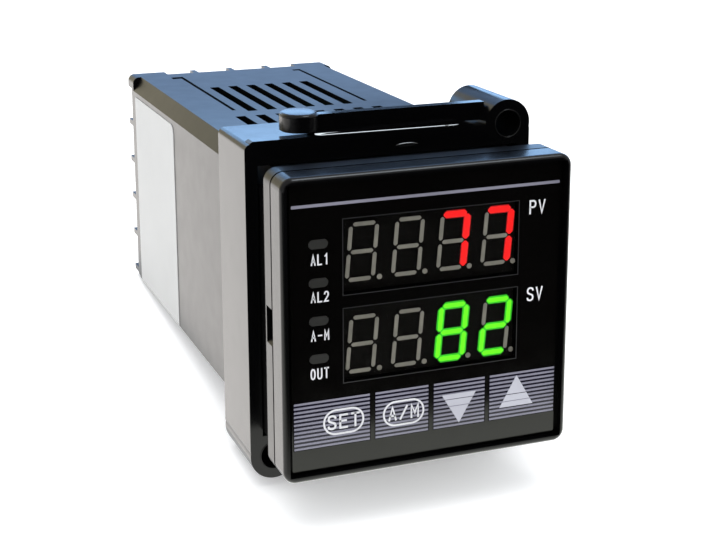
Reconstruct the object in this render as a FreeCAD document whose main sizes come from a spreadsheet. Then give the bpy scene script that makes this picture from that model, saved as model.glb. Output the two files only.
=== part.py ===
"""PID temperature controller with a 48 x 48 mm front, held in a panel cut-out by a sliding bracket.

Frame: millimetres, +Z up, the front faces -Y, and +X is on the right seen from the front.
The origin is on the axis of the case, in the plane of the flange face that seats on the panel.
"""
import FreeCAD
import Part
import Sketcher
import math
import os
from types import SimpleNamespace

Vector = FreeCAD.Vector
doc = FreeCAD.newDocument("PidController")

# ---------------------------------------------------------------- driving dimensions
DIMENSIONS = (
    ("front_width", 48.0, "front frame and flange, width and height"),
    ("front_corner", 2.0, "corner radius of the front frame and flange"),
    ("frame_front", -8.3, "y of the front of the frame"),
    ("frame_back", -3.5, "y of the back of the frame"),
    ("frame_soften", 0.9, "radius of the front edge of the frame"),
    ("rim_inner_x", 23.1, "half width inside the rim"),
    ("rim_inner_z", 22.95, "half height inside the rim"),
    ("floor_front", -6.6, "y of the floor that carries the face sheet"),
    ("floor_back", -5.2, "y of the back of that floor"),
    ("spigot_half", 20.5, "half width of the part of the frame that enters the case"),
    ("spigot_end", 6.0, "y of the rear end of the spigot"),
    ("spigot_hollow", 18.5, "half width inside the spigot in front of the board"),
    ("spigot_bore", 19.0, "half width inside the spigot round the board"),
    ("sheet_front", -7.2, "y of the front of the face sheet"),
    ("sheet_half_x", 22.4, "half width of the face sheet"),
    ("sheet_half_z", 22.6, "half height of the face sheet"),
    ("window_left", -14.1, "left edge of both windows"),
    ("window_right", 15.4, "right edge of both windows"),
    ("window_high", 12.1, "height of a window"),
    ("upper_base", 4.9, "lower edge of the upper window"),
    ("lower_base", -9.1, "lower edge of the lower window"),
    ("window_ledge", 0.3, "width of the ledge that carries a window"),
    ("display_front", -6.45, "y of the front of the display modules"),
    ("digit_left", -13.35, "left edge of the first digit"),
    ("digit_pitch", 7.4, "spacing of the digits"),
    ("digit_high", 10.2, "height of a digit"),
    ("digit_wide", 4.5, "width of a digit before it leans"),
    ("digit_stroke", 0.9, "width of a segment"),
    ("digit_lean", 0.9, "how far the top of a digit leans to the right"),
    ("digit_gap", 0.12, "half of the gap between neighbouring segments"),
    ("key_base", -18.95, "lower edge of the keys"),
    ("key_top", -11.35, "upper edge of the keys"),
    ("key_gap", 0.1, "clearance round each key"),
    ("key_well", 0.5, "depth of the wells behind the keys"),
    ("lamp_x", -17.9, "x of the indicator lamps"),
    ("lamp_top", 13.4, "z of the highest indicator lamp"),
    ("lamp_pitch", 6.0, "spacing of the indicator lamps"),
    ("lamp_wide", 3.1, "width of a lamp lens"),
    ("lamp_high", 1.45, "height of a lamp lens"),
    ("board_front", -0.4, "y of the front of the display board"),
    ("board_thick", 1.6, "thickness of the circuit boards"),
    ("side_board", 14.4, "x of the inner face of the side boards"),
    ("flange_front", -3.0, "y of the front of the case flange"),
    ("case_half", 22.3, "half width of the case"),
    ("case_long", 97.0, "length of the case behind the panel"),
    ("case_wall", 1.5, "wall of the case"),
    ("bevel_wide", 1.8, "width of the bevels along the top corners"),
    ("bevel_high", 2.8, "height of those bevels"),
    ("vent_wide", 1.85, "width of a vent"),
    ("vent_pitch", 3.8, "spacing of the vents"),
    ("block_end", 98.5, "y of the terminal face"),
    ("barrier_end", 101.7, "y of the rear edge of the barriers"),
    ("barrier", 1.1, "thickness of a barrier"),
    ("terminal_x", 18.8, "x of the side terminals, and z of the top ones"),
    ("terminal_pitch", 8.15, "spacing of the side terminals"),
    ("plate_front", 99.1, "y of the front of the clamp plates"),
    ("head_front", 99.9, "y of the front of the screw heads"),
    ("head_back", 101.5, "y of the back of the screw heads"),
    ("screw_head", 2.6, "radius of a terminal screw head"),
    ("bracket_front", 7.7, "y of the front of the bracket"),
    ("bracket_deep", 14.8, "depth of the bracket"),
    ("bracket_half_x", 24.6, "half width of the bracket"),
    ("bracket_half_z", 26.0, "half height of the bracket"),
    ("bracket_inner", 22.5, "half width inside the bracket"),
    ("boss_x", 20.6, "x of the upper screw boss"),
    ("boss_radius", 4.0, "radius of a screw boss"),
    ("boss_bore", 2.2, "radius of the hole through a screw boss"),
    ("boss_split", 15.9, "x at which the boss corners end"),
)


class Size:
    """A length known both as a number and as the sheet formula that drives it."""

    def __init__(self, value, formula):
        self.value = float(value)
        self.formula = formula

    def combine(self, sign, other):
        other = size(other)
        values = {"+": lambda a, b: a + b, "-": lambda a, b: a - b,
                  "*": lambda a, b: a * b, "/": lambda a, b: a / b}
        formula = "(%s %s %s)" % (self.formula, sign, other.formula)
        return Size(values[sign](self.value, other.value), formula)

    def __add__(self, other):
        return self.combine("+", other)

    def __radd__(self, other):
        return size(other).combine("+", self)

    def __sub__(self, other):
        return self.combine("-", other)

    def __rsub__(self, other):
        return size(other).combine("-", self)

    def __mul__(self, other):
        return self.combine("*", other)

    def __rmul__(self, other):
        return size(other).combine("*", self)

    def __truediv__(self, other):
        return self.combine("/", other)

    def __neg__(self):
        return Size(-self.value, "(0 - %s)" % self.formula)


def size(item):
    """Plain numbers become sizes whose formula is the number itself."""
    if isinstance(item, Size):
        return item
    text = "%.6f" % abs(item)
    return Size(item, text if item >= 0 else "(0 - %s)" % text)


sheet = doc.addObject("Spreadsheet::Sheet", "Sizes")
dim = SimpleNamespace()
for row, (alias, value, note) in enumerate(DIMENSIONS, start=1):
    sheet.set("A%d" % row, alias)
    sheet.set("B%d" % row, "%g" % value)
    sheet.set("C%d" % row, note)
    sheet.setAlias("B%d" % row, alias)
    setattr(dim, alias, Size(value, "Sizes." + alias))
doc.recompute()

front_half = dim.front_width / 2
case_inner = dim.case_half - dim.case_wall
board_back = dim.board_front + dim.board_thick
board_outer = dim.side_board + dim.board_thick
bracket_back = dim.bracket_front + dim.bracket_deep
TOP_TERMINALS = (-11.5, -4.05, 4.05, 11.5)


# ---------------------------------------------------------------- building helpers
def bind(item, name, length):
    """Set one property and tie it to its formula."""
    length = size(length)
    setattr(item, name, length.value)
    item.setExpression(name, length.formula)


class Moulding:
    """One PartDesign body; each feature is checked as it is added."""

    def __init__(self, label):
        self.body = doc.addObject("PartDesign::Body", label)
        self.body.Label = label
        self.volume = 0.0

    def origin(self, role):
        return [item for item in self.body.Origin.OriginFeatures if item.Role == role][0]

    def sketch(self, role, offset):
        """A sketch parallel to an origin plane, at the given coordinate across it."""
        item = self.body.newObject("Sketcher::SketchObject", self.body.Name + "_sketch")
        item.AttachmentSupport = [(self.origin(role), "")]
        item.MapMode = "FlatFace"
        along = -size(offset) if role == "XZ_Plane" else size(offset)
        item.AttachmentOffset = FreeCAD.Placement(Vector(0, 0, along.value), FreeCAD.Rotation())
        item.setExpression("AttachmentOffset.Base.z", along.formula)
        return item

    def front(self, offset):
        return self.sketch("XZ_Plane", offset)

    def settle(self, item, grows):
        """Recompute, and make sure that the feature added or removed material."""
        self.body.Tip = item
        doc.recompute()
        volume = self.body.Shape.Volume
        if (volume > self.volume) != grows or abs(volume - self.volume) < 1e-6:
            raise RuntimeError("%s of %s had no effect" % (item.Name, self.body.Label))
        self.volume = volume
        return item

    def extrude(self, kind, sketch, length, forward):
        """A pad or pocket that runs along +X, +Y or +Z when forward is true."""
        item = self.body.newObject("PartDesign::" + kind, self.body.Name + "_" + kind)
        item.Profile = sketch
        bind(item, "Length", length)
        flipped = sketch.AttachmentSupport[0][0].Role == "XZ_Plane"
        item.Reversed = (flipped == forward) if kind == "Pad" else (flipped != forward)
        return self.settle(item, kind == "Pad")

    def pad(self, sketch, length, forward=True):
        return self.extrude("Pad", sketch, length, forward)

    def pocket(self, sketch, length, forward=True):
        return self.extrude("Pocket", sketch, length, forward)

    def soften(self, kind, radius, wanted):
        """Fillet or chamfer the edges of the tip for which wanted(edge) is true."""
        base = self.body.Tip
        names = ["Edge%d" % number for number, edge in enumerate(base.Shape.Edges, start=1)
                 if wanted(edge)]
        if not names:
            raise RuntimeError("no edge to soften on " + self.body.Label)
        item = self.body.newObject("PartDesign::" + kind, self.body.Name + "_" + kind)
        item.Base = (base, names)
        bind(item, "Radius" if kind == "Fillet" else "Size", radius)
        self.body.Tip = item
        doc.recompute()
        self.volume = self.body.Shape.Volume
        return item

    def row(self, sketch, axis, step, count):
        """A linear pattern step, for use in repeat()."""
        item = self.body.newObject("PartDesign::LinearPattern", self.body.Name + "_row")
        item.Direction = (sketch, [axis])
        item.Mode = "Spacing"
        bind(item, "Offset", step)
        item.Occurrences = count
        return item

    def mirror(self, role):
        """A mirror step, for use in repeat()."""
        item = self.body.newObject("PartDesign::Mirrored", self.body.Name + "_mirror")
        item.MirrorPlane = (self.origin(role), [""])
        return item

    def repeat(self, originals, steps, grows=True):
        """Apply pattern and mirror steps together to the given features."""
        item = self.body.newObject("PartDesign::MultiTransform", self.body.Name + "_repeat")
        item.Originals = originals
        item.Transformations = [step() for step in steps]
        return self.settle(item, grows)

    def half_turn(self, originals):
        """Repeat features half a turn round the Y axis."""
        item = self.body.newObject("PartDesign::PolarPattern", self.body.Name + "_half_turn")
        item.Originals = originals
        item.Axis = (self.origin("Y_Axis"), [""])
        item.Angle = 360
        item.Occurrences = 2
        return self.settle(item, True)


def tie(sketch, places):
    """Fix points of a sketch by their distances from its origin.

    Each place is (geometry, point number, x, y).
    """
    constraints = []
    formulas = []
    for geometry, point, x, y in places:
        for kind, length in (("DistanceX", size(x)), ("DistanceY", size(y))):
            constraints.append(Sketcher.Constraint(kind, -1, 1, geometry, point, length.value))
            formulas.append(length.formula)
    for number, formula in zip(sketch.addConstraint(constraints), formulas):
        sketch.setExpression("Constraints[%d]" % number, formula)


def outline(sketch, points):
    """A closed outline of straight lines."""
    first = sketch.GeometryCount
    count = len(points)
    at = [Vector(size(x).value, size(y).value, 0) for x, y in points]
    lines = [Part.LineSegment(at[i], at[(i + 1) % count]) for i in range(count)]
    sketch.addGeometry(lines, False)
    sketch.addConstraint([Sketcher.Constraint("Coincident", first + i, 2, first + (i + 1) % count, 1)
                          for i in range(count)])
    tie(sketch, [(first + i, 1, x, y) for i, (x, y) in enumerate(points)])


def rectangle(sketch, left, right, low, high):
    outline(sketch, [(left, low), (right, low), (right, high), (left, high)])


def circle(sketch, x, y, radius):
    radius = size(radius)
    centre = Vector(size(x).value, size(y).value, 0)
    number = sketch.addGeometry(Part.Circle(centre, Vector(0, 0, 1), radius.value), False)
    tie(sketch, [(number, 3, x, y)])
    held = sketch.addConstraint(Sketcher.Constraint("Radius", number, radius.value))
    sketch.setExpression("Constraints[%d]" % held, radius.formula)


def pill(sketch, left, right, low, high):
    """A slot outline with two round ends, along whichever side is longer."""
    left, right, low, high = [size(item) for item in (left, right, low, high)]
    upright = high.value - low.value > right.value - left.value
    if upright:
        radius = (right - left) / 2
        middle = (left + right) / 2
        ends = [(middle, low + radius), (middle, high - radius)]
        corners = [(left, ends[0][1]), (right, ends[0][1]), (right, ends[1][1]), (left, ends[1][1])]
        turn = 0.0
    else:
        radius = (high - low) / 2
        middle = (low + high) / 2
        ends = [(right - radius, middle), (left + radius, middle)]
        corners = [(ends[0][0], high), (ends[0][0], low), (ends[1][0], low), (ends[1][0], high)]
        corners = [corners[0], corners[1], corners[2], corners[3]]
        turn = math.pi / 2
    first = sketch.GeometryCount
    vectors = [Vector(x.value, y.value, 0) for x, y in corners]
    centres = [Vector(x.value, y.value, 0) for x, y in ends]
    normal = Vector(0, 0, 1)
    if upright:
        spans = [(math.pi, 2 * math.pi), (0.0, math.pi)]
        lines = [(1, 2), (3, 0)]
    else:
        spans = [(-turn, turn), (turn, 3 * turn)]
        lines = [(0, 3), (2, 1)]
    arcs = [Part.ArcOfCircle(Part.Circle(centres[i], normal, radius.value), *spans[i]) for i in (0, 1)]
    segments = [Part.LineSegment(vectors[a], vectors[b]) for a, b in lines]
    sketch.addGeometry([arcs[0], segments[0], arcs[1], segments[1]], False)
    links = []
    for i in range(4):
        links.append(Sketcher.Constraint("Tangent", first + i, 2, first + (i + 1) % 4, 1))
    held = sketch.addConstraint(links + [Sketcher.Constraint("Radius", first, radius.value)])
    sketch.setExpression("Constraints[%d]" % held[-1], radius.formula)
    tie(sketch, [(first, 3, ends[0][0], ends[0][1]), (first + 2, 3, ends[1][0], ends[1][1])])


def direction(edge):
    """Unit direction of a straight edge, or None."""
    if not isinstance(edge.Curve, Part.Line):
        return None
    run = edge.Vertexes[-1].Point - edge.Vertexes[0].Point
    return run.normalize()


def along_y(edge):
    run = direction(edge)
    return run is not None and abs(run.y) > 0.999


def place(item, x, y, z):
    """Put a primitive at a bound position."""
    for name, length in (("x", size(x)), ("y", size(y)), ("z", size(z))):
        setattr(item.Placement.Base, name, length.value)
        item.setExpression("Placement.Base." + name, length.formula)


def box(label, left, right, near, far, low, high):
    """A Part box between two coordinates each way."""
    item = doc.addObject("Part::Box", label)
    item.Label = label
    bind(item, "Length", size(right) - left)
    bind(item, "Width", size(far) - near)
    bind(item, "Height", size(high) - low)
    place(item, left, near, low)
    return item


def joined(label, pieces):
    item = doc.addObject("Part::MultiFuse", label)
    item.Label = label
    item.Shapes = pieces
    item.Refine = True
    return item


def less(label, base, tool):
    item = doc.addObject("Part::Cut", label)
    item.Label = label
    item.Base = base
    item.Tool = tool
    return item


# ---------------------------------------------------------------- case
def make_case_shell():
    """Rear housing: flange, square barrel with bevelled top corners, vents and board rails."""
    shell = Moulding("case_shell")
    sketch = shell.front(dim.flange_front)
    rectangle(sketch, -front_half, front_half, -front_half, front_half)
    shell.pad(sketch, -dim.flange_front)
    shell.soften("Fillet", dim.front_corner, along_y)

    # A finger scoop at mid-height of each side of the flange.
    sketch = shell.front(dim.flange_front)
    outline(sketch, [(-front_half - 1, 3.65), (-front_half, 2.65), (-front_half + 0.9, 1.75),
                     (-front_half + 0.9, -2.35), (-front_half, -3.25), (-front_half - 1, -4.25)])
    scoop = shell.pocket(sketch, -dim.flange_front - 0.45)
    shell.repeat([scoop], [lambda: shell.mirror("YZ_Plane")], grows=False)

    half = dim.case_half
    sketch = shell.front(0)
    outline(sketch, [(-half, -half + 0.6), (-half + 0.6, -half), (half - 0.6, -half),
                     (half, -half + 0.6), (half, half - dim.bevel_high), (half - dim.bevel_wide, half),
                     (dim.bevel_wide - half, half), (-half, half - dim.bevel_high)])
    shell.pad(sketch, dim.case_long)

    inner = case_inner
    sketch = shell.front(dim.flange_front)
    outline(sketch, [(-inner, -inner), (inner, -inner), (inner, inner - 1.9), (inner - 1.2, inner),
                     (1.2 - inner, inner), (-inner, inner - 1.9)])
    shell.pocket(sketch, dim.case_long - dim.flange_front)

    # Rails that guide the side boards, two each side of both grooves, top and bottom.
    sketch = shell.front(8)
    groove_in = dim.side_board - 0.15
    groove_out = board_outer + 0.15
    rectangle(sketch, groove_in - 0.8, groove_in, inner - 1.5, inner + 0.3)
    rectangle(sketch, groove_out, groove_out + 0.8, inner - 1.5, inner + 0.3)
    rails = shell.pad(sketch, 81.5)
    shell.repeat([rails], [lambda: shell.mirror("YZ_Plane"), lambda: shell.mirror("XY_Plane")])

    # Six long vents and eight short ones, through the top and the bottom.
    for near, far, count in ((52.3, 79.2, 6), (38.4, 48.0, 8)):
        first = dim.vent_pitch * ((1 - count) / 2)
        sketch = shell.sketch("XY_Plane", dim.case_half)
        rectangle(sketch, first - dim.vent_wide / 2, first + dim.vent_wide / 2, near, far)
        vent = shell.pocket(sketch, dim.case_wall, forward=False)
        shell.repeat([vent], [lambda: shell.row(sketch, "H_Axis", dim.vent_pitch, count),
                              lambda: shell.mirror("XY_Plane")], grows=False)

    # Two fine slits in the top, each with a latch notch at its rear end.
    sketch = shell.sketch("XY_Plane", dim.case_half)
    outline(sketch, [(-13.0, 54), (-12.3, 54), (-12.3, 94), (-14.8, 94), (-14.8, 92), (-13.0, 92)])
    outline(sketch, [(13.25, 54), (13.95, 54), (13.95, 94.2), (12.1, 94.2), (12.1, 92.8), (13.25, 92.8)])
    shell.pocket(sketch, 0.8, forward=False)
    return shell.body


def make_side_label():
    """Blank label on the left side, with one rounded corner at the front top."""
    label = Moulding("side_label")
    sketch = label.sketch("YZ_Plane", -dim.case_half - 0.12)
    rectangle(sketch, 62.5, 95, -21.5, 18.5)
    label.pad(sketch, 0.12)
    label.soften("Fillet", 2.0, lambda edge: abs(edge.CenterOfMass.y - 62.5) < 0.01
                 and abs(edge.CenterOfMass.z - 18.5) < 0.01)
    return label.body


def make_terminal_block():
    """Rear moulding: a plug inside the case, a face and the barriers between 14 terminals."""
    block = Moulding("terminal_block")
    half = dim.case_half
    sketch = block.front(90)
    rectangle(sketch, -20.6, 20.6, -20.6, 18.7)
    block.pad(sketch, dim.case_long - 90)
    sketch = block.front(dim.case_long)
    rectangle(sketch, -half, half, -half, half)
    block.pad(sketch, dim.block_end - dim.case_long)

    # Walls on the inner side of the two columns and of the top row.
    inner = 14.4
    tall = dim.barrier_end - dim.block_end
    sketch = block.front(dim.block_end)
    rectangle(sketch, inner, inner + 0.9, -half, half)
    rectangle(sketch, -inner - 0.9, -inner, -half, half)
    block.pad(sketch, tall)
    sketch = block.front(dim.block_end)
    rectangle(sketch, -inner - 0.4, inner + 0.4, inner, inner + 0.9)
    block.pad(sketch, tall)

    # Barriers beside the two columns of terminals.
    low = dim.terminal_pitch * -2.5 - dim.barrier / 2
    sketch = block.front(dim.block_end)
    rectangle(sketch, inner + 0.5, half, low, low + dim.barrier)
    rib = block.pad(sketch, tall)
    block.repeat([rib], [lambda: block.row(sketch, "V_Axis", dim.terminal_pitch, 6),
                         lambda: block.mirror("YZ_Plane")])

    # Barriers between the four terminals along the top.
    sketch = block.front(dim.block_end)
    for middle in (-8.1, 0, 8.1):
        rectangle(sketch, middle - dim.barrier / 2, middle + dim.barrier / 2, inner + 0.5, half)
    block.pad(sketch, tall)

    # Solid corner posts, rounded together with the corners of the face.
    sketch = block.front(dim.block_end)
    rectangle(sketch, inner + 0.5, half, 20.2, half)
    rectangle(sketch, -half, -inner - 0.5, 20.2, half)
    block.pad(sketch, tall)
    block.soften("Fillet", 1.3, lambda edge: along_y(edge) and abs(edge.CenterOfMass.x) > half.value - 0.1
                 and abs(edge.CenterOfMass.z) > half.value - 0.1)

    # Slots for the contacts.
    low = dim.terminal_pitch * -2
    sketch = block.front(dim.block_end)
    rectangle(sketch, 15.9, 16.65, low - 1.4, low + 1.4)
    slot = block.pocket(sketch, 8.6, forward=False)
    block.repeat([slot], [lambda: block.row(sketch, "V_Axis", dim.terminal_pitch, 5),
                          lambda: block.mirror("YZ_Plane")], grows=False)
    sketch = block.front(dim.block_end)
    for middle in TOP_TERMINALS:
        rectangle(sketch, middle - 1.4, middle + 1.4, 16.6, 17.2)
    block.pocket(sketch, 8.6, forward=False)
    return block.body


def make_terminal_screws():
    """Fourteen screws, each with a captive square clamp plate under its head."""
    screws = Moulding("terminal_screws")
    wide = 5.4
    high = 5.6
    low = dim.terminal_pitch * -2
    sketch = screws.front(dim.plate_front)
    rectangle(sketch, dim.terminal_x - wide / 2, dim.terminal_x + wide / 2, low - high / 2, low + high / 2)
    plate = screws.pad(sketch, dim.head_front - dim.plate_front)
    heads = screws.front(dim.head_front)
    circle(heads, dim.terminal_x, low, dim.screw_head)
    head = screws.pad(heads, dim.head_back - dim.head_front)
    screws.repeat([plate, head], [lambda: screws.row(sketch, "V_Axis", dim.terminal_pitch, 5),
                                  lambda: screws.mirror("YZ_Plane")])
    sketch = screws.front(dim.plate_front)
    heads = screws.front(dim.head_front)
    for middle in TOP_TERMINALS:
        rectangle(sketch, middle - high / 2, middle + high / 2,
                  dim.terminal_x - wide / 2, dim.terminal_x + wide / 2)
        circle(heads, middle, dim.terminal_x, dim.screw_head)
    screws.pad(sketch, dim.head_front - dim.plate_front)
    screws.pad(heads, dim.head_back - dim.head_front)
    return screws.body


def make_terminal_contacts():
    """Fourteen angled strips: a tab under each clamp plate and a leg that reaches a board."""
    strips = Moulding("terminal_contacts")
    low = dim.terminal_pitch * -2
    tab = dim.plate_front - dim.block_end
    sketch = strips.front(dim.block_end)
    rectangle(sketch, 16.05, 21.4, low - 2, low + 2)
    made = [strips.pad(sketch, tab)]
    legs = strips.front(80)
    rectangle(legs, 16.05, 16.5, low - 1.25, low + 1.25)
    made.append(strips.pad(legs, dim.plate_front - 80))
    strips.repeat(made, [lambda: strips.row(sketch, "V_Axis", dim.terminal_pitch, 5),
                         lambda: strips.mirror("YZ_Plane")])
    sketch = strips.front(dim.block_end)
    legs = strips.front(80)
    for middle in TOP_TERMINALS:
        rectangle(sketch, middle - 2, middle + 2, 16.75, 21.4)
        rectangle(legs, middle - 1.25, middle + 1.25, 16.75, 17.1)
    strips.pad(sketch, tab)
    strips.pad(legs, dim.plate_front - 80)
    return strips.body


# ---------------------------------------------------------------- front frame and face
KEYS = (("set", -22.1, -9.7, -15.9), ("mode", -8.8, 0.15, -4.325),
        ("down", 1.05, 9.9, 5.475), ("up", 10.75, 22.3, 15.95))
LAMPS = ("al1", "al2", "am", "out")
key_middle = (dim.key_base + dim.key_top) / 2


def lamp_height(number):
    return dim.lamp_top - dim.lamp_pitch * number


def lamp_lens(sketch, number, gap):
    half_wide = dim.lamp_wide / 2 + gap
    half_high = dim.lamp_high / 2 + gap
    middle = lamp_height(number)
    pill(sketch, dim.lamp_x - half_wide, dim.lamp_x + half_wide, middle - half_high, middle + half_high)


def make_front_bezel():
    """Front frame: softened rim, floor with windows and key wells, and the spigot behind."""
    frame = Moulding("front_bezel")
    sketch = frame.front(dim.frame_front)
    rectangle(sketch, -front_half, front_half, -front_half, front_half)
    frame.pad(sketch, dim.frame_back - dim.frame_front)
    frame.soften("Fillet", dim.front_corner, along_y)
    frame.soften("Fillet", dim.frame_soften,
                 lambda edge: abs(edge.BoundBox.YMax - dim.frame_front.value) < 0.01)

    sketch = frame.front(dim.frame_front)
    rectangle(sketch, -dim.rim_inner_x, dim.rim_inner_x, -dim.rim_inner_z, dim.rim_inner_z)
    frame.pocket(sketch, dim.floor_front - dim.frame_front)

    spigot = dim.spigot_half
    sketch = frame.front(dim.frame_back)
    outline(sketch, [(-spigot, -spigot), (spigot, -spigot), (spigot, spigot - 1.9), (spigot - 1.2, spigot),
                     (1.2 - spigot, spigot), (-spigot, spigot - 1.9)])
    frame.pad(sketch, dim.spigot_end - dim.frame_back)
    for half, near in ((dim.spigot_hollow, dim.floor_back), (dim.spigot_bore, dim.board_front)):
        sketch = frame.front(near)
        rectangle(sketch, -half, half, -half, half)
        frame.pocket(sketch, dim.spigot_end - near)

    through = dim.floor_back - dim.floor_front
    ledge = dim.window_ledge
    sketch = frame.front(dim.floor_front)
    for base in (dim.upper_base, dim.lower_base):
        rectangle(sketch, dim.window_left + ledge, dim.window_right - ledge,
                  base + ledge, base + dim.window_high - ledge)
    for number in range(len(LAMPS)):
        lamp_lens(sketch, number, 0.05)
    for name, left, right, middle in KEYS:
        circle(sketch, middle, key_middle, 1.6)
    frame.pocket(sketch, through)

    gap = dim.key_gap
    sketch = frame.front(dim.floor_front)
    for name, left, right, middle in KEYS:
        rectangle(sketch, left - gap, right + gap, dim.key_base - gap, dim.key_top + gap)
    frame.pocket(sketch, dim.key_well)
    return frame.body


def make_face_overlay():
    """Face sheet with cut-outs for the windows, lamps and keys."""
    face = Moulding("face_overlay")
    thick = dim.floor_front - dim.sheet_front
    sketch = face.front(dim.sheet_front)
    rectangle(sketch, -dim.sheet_half_x, dim.sheet_half_x, -dim.sheet_half_z, dim.sheet_half_z)
    face.pad(sketch, thick)
    face.soften("Fillet", 0.5, along_y)
    gap = dim.key_gap
    sketch = face.front(dim.sheet_front)
    for base in (dim.upper_base, dim.lower_base):
        rectangle(sketch, dim.window_left, dim.window_right, base, base + dim.window_high)
    for number in range(len(LAMPS)):
        lamp_lens(sketch, number, 0.05)
    for name, left, right, middle in KEYS:
        rectangle(sketch, left - gap, right + gap, dim.key_base - gap, dim.key_top + gap)
    face.pocket(sketch, thick)
    return face.body


def make_display(prefix, base):
    """Smoked window, display module and the segments of its four digits."""
    ledge = dim.window_ledge
    window = box(prefix + "_window", dim.window_left, dim.window_right, dim.sheet_front, dim.floor_front,
                 base, base + dim.window_high)
    module = box(prefix + "_display", dim.window_left + ledge + 0.1, dim.window_right - ledge - 0.1,
                 dim.display_front, dim.board_front, base + ledge + 0.1,
                 base + dim.window_high - ledge - 0.1)

    digits = Moulding(prefix + "_digits")
    sketch = digits.front(dim.display_front - 0.1)
    left = dim.digit_left
    low = base + 1.0
    high = dim.digit_high
    stroke = dim.digit_stroke
    gap = dim.digit_gap
    middle = high / 2
    wide = dim.digit_wide

    def lean(points):
        return [(left + x + dim.digit_lean * (size(z) / high), low + z) for x, z in points]

    def level(z):
        """A horizontal segment whose middle line is at height z."""
        reach = stroke / 2
        return [(reach + gap, z), (stroke + gap, z - reach), (wide - stroke - gap, z - reach),
                (wide - reach - gap, z), (wide - stroke - gap, z + reach), (stroke + gap, z + reach)]

    def upright(x, bottom, top):
        """A vertical segment whose middle line is at x."""
        reach = stroke / 2
        return [(x, bottom + gap), (x + reach, bottom + reach + gap), (x + reach, top - reach - gap),
                (x, top - gap), (x - reach, top - reach - gap), (x - reach, bottom + reach + gap)]

    for z in (stroke / 2, middle, high - stroke / 2):
        outline(sketch, lean(level(z)))
    for x in (stroke / 2, wide - stroke / 2):
        outline(sketch, lean(upright(x, stroke / 2, middle)))
        outline(sketch, lean(upright(x, middle, high - stroke / 2)))
    dot = [(math.cos(math.radians(turn)) * 0.5, math.sin(math.radians(turn)) * 0.5)
           for turn in range(0, 360, 45)]
    outline(sketch, [(left + wide + 1.0 + x, low + 0.5 + z) for x, z in dot])
    made = digits.pad(sketch, 0.1)
    digits.repeat([made], [lambda: digits.row(sketch, "H_Axis", dim.digit_pitch, 4)])
    return [window, module, digits.body]


def make_lamp(number, name):
    """Indicator lamp: a pill lens in front of a square body on the board."""
    lamp = Moulding("indicator_" + name)
    sketch = lamp.front(dim.sheet_front + 0.05)
    lamp_lens(sketch, number, 0)
    lamp.pad(sketch, dim.floor_back - dim.sheet_front - 0.05)
    sketch = lamp.front(dim.floor_back)
    middle = lamp_height(number)
    rectangle(sketch, dim.lamp_x - 0.5, dim.lamp_x + 1.4, middle - dim.lamp_high / 2,
              middle + dim.lamp_high / 2)
    lamp.pad(sketch, dim.board_front - dim.floor_back)
    return lamp.body


def make_key(name, left, right, middle):
    """Key pad with its post, the plunger that it presses and the switch under that."""
    key = Moulding(name + "_key")
    sketch = key.front(dim.sheet_front)
    rectangle(sketch, left, right, dim.key_base, dim.key_top)
    key.pad(sketch, dim.floor_front - dim.sheet_front)
    sketch = key.front(dim.floor_front)
    circle(sketch, middle, key_middle, 1.5)
    key.pad(sketch, 3.0)

    plunger = box(name + "_plunger", size(middle) - 0.75, size(middle) + 0.75, dim.floor_front + 3.0, -1.5,
                  key_middle - 0.75, key_middle + 0.75)

    switch = Moulding(name + "_switch")
    sketch = switch.front(-2.4)
    rectangle(sketch, size(middle) - 2.25, size(middle) + 2.25, key_middle - 2.25, key_middle + 2.25)
    switch.pad(sketch, dim.board_front + 2.4)
    sketch = switch.front(-2.4)
    outline(sketch, [(size(middle) + x, key_middle + z) for x, z in
                     ((1.1, 0.5), (0.5, 1.1), (-0.5, 1.1), (-1.1, 0.5), (-1.1, -0.5), (-0.5, -1.1),
                      (0.5, -1.1), (1.1, -0.5))])
    switch.pocket(sketch, 1.5)
    return [key.body, plunger, switch.body]


# ---------------------------------------------------------------- boards and what they carry
def make_boards():
    display = box("display_board", -dim.spigot_bore + 0.1, dim.spigot_bore - 0.1, dim.board_front,
                  board_back, -dim.spigot_bore + 0.1, dim.spigot_bore - 0.1)
    made = [display]
    for label, sign in (("main_board", -1), ("power_board", 1)):
        board = Moulding(label)
        near = dim.side_board if sign > 0 else -board_outer
        sketch = board.sketch("YZ_Plane", near)
        outline(sketch, [(board_back, -18.8), (7, -18.8), (7, -20.15), (88, -20.15), (88, 20.15),
                         (7, 20.15), (7, 18.8), (board_back, 18.8)])
        board.pad(sketch, dim.board_thick)
        made.append(board.body)
    made.append(box("output_board", -dim.side_board, dim.side_board, 66, 88, 15.5, 16.7))
    headers = [box(side + "_header", low, high, board_back, board_back + 2.5, -12, 12)
               for side, low, high in (("left", -dim.side_board, 2.5 - dim.side_board),
                                       ("right", dim.side_board - 2.5, dim.side_board))]
    made.append(joined("board_headers", headers))
    return made


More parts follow.
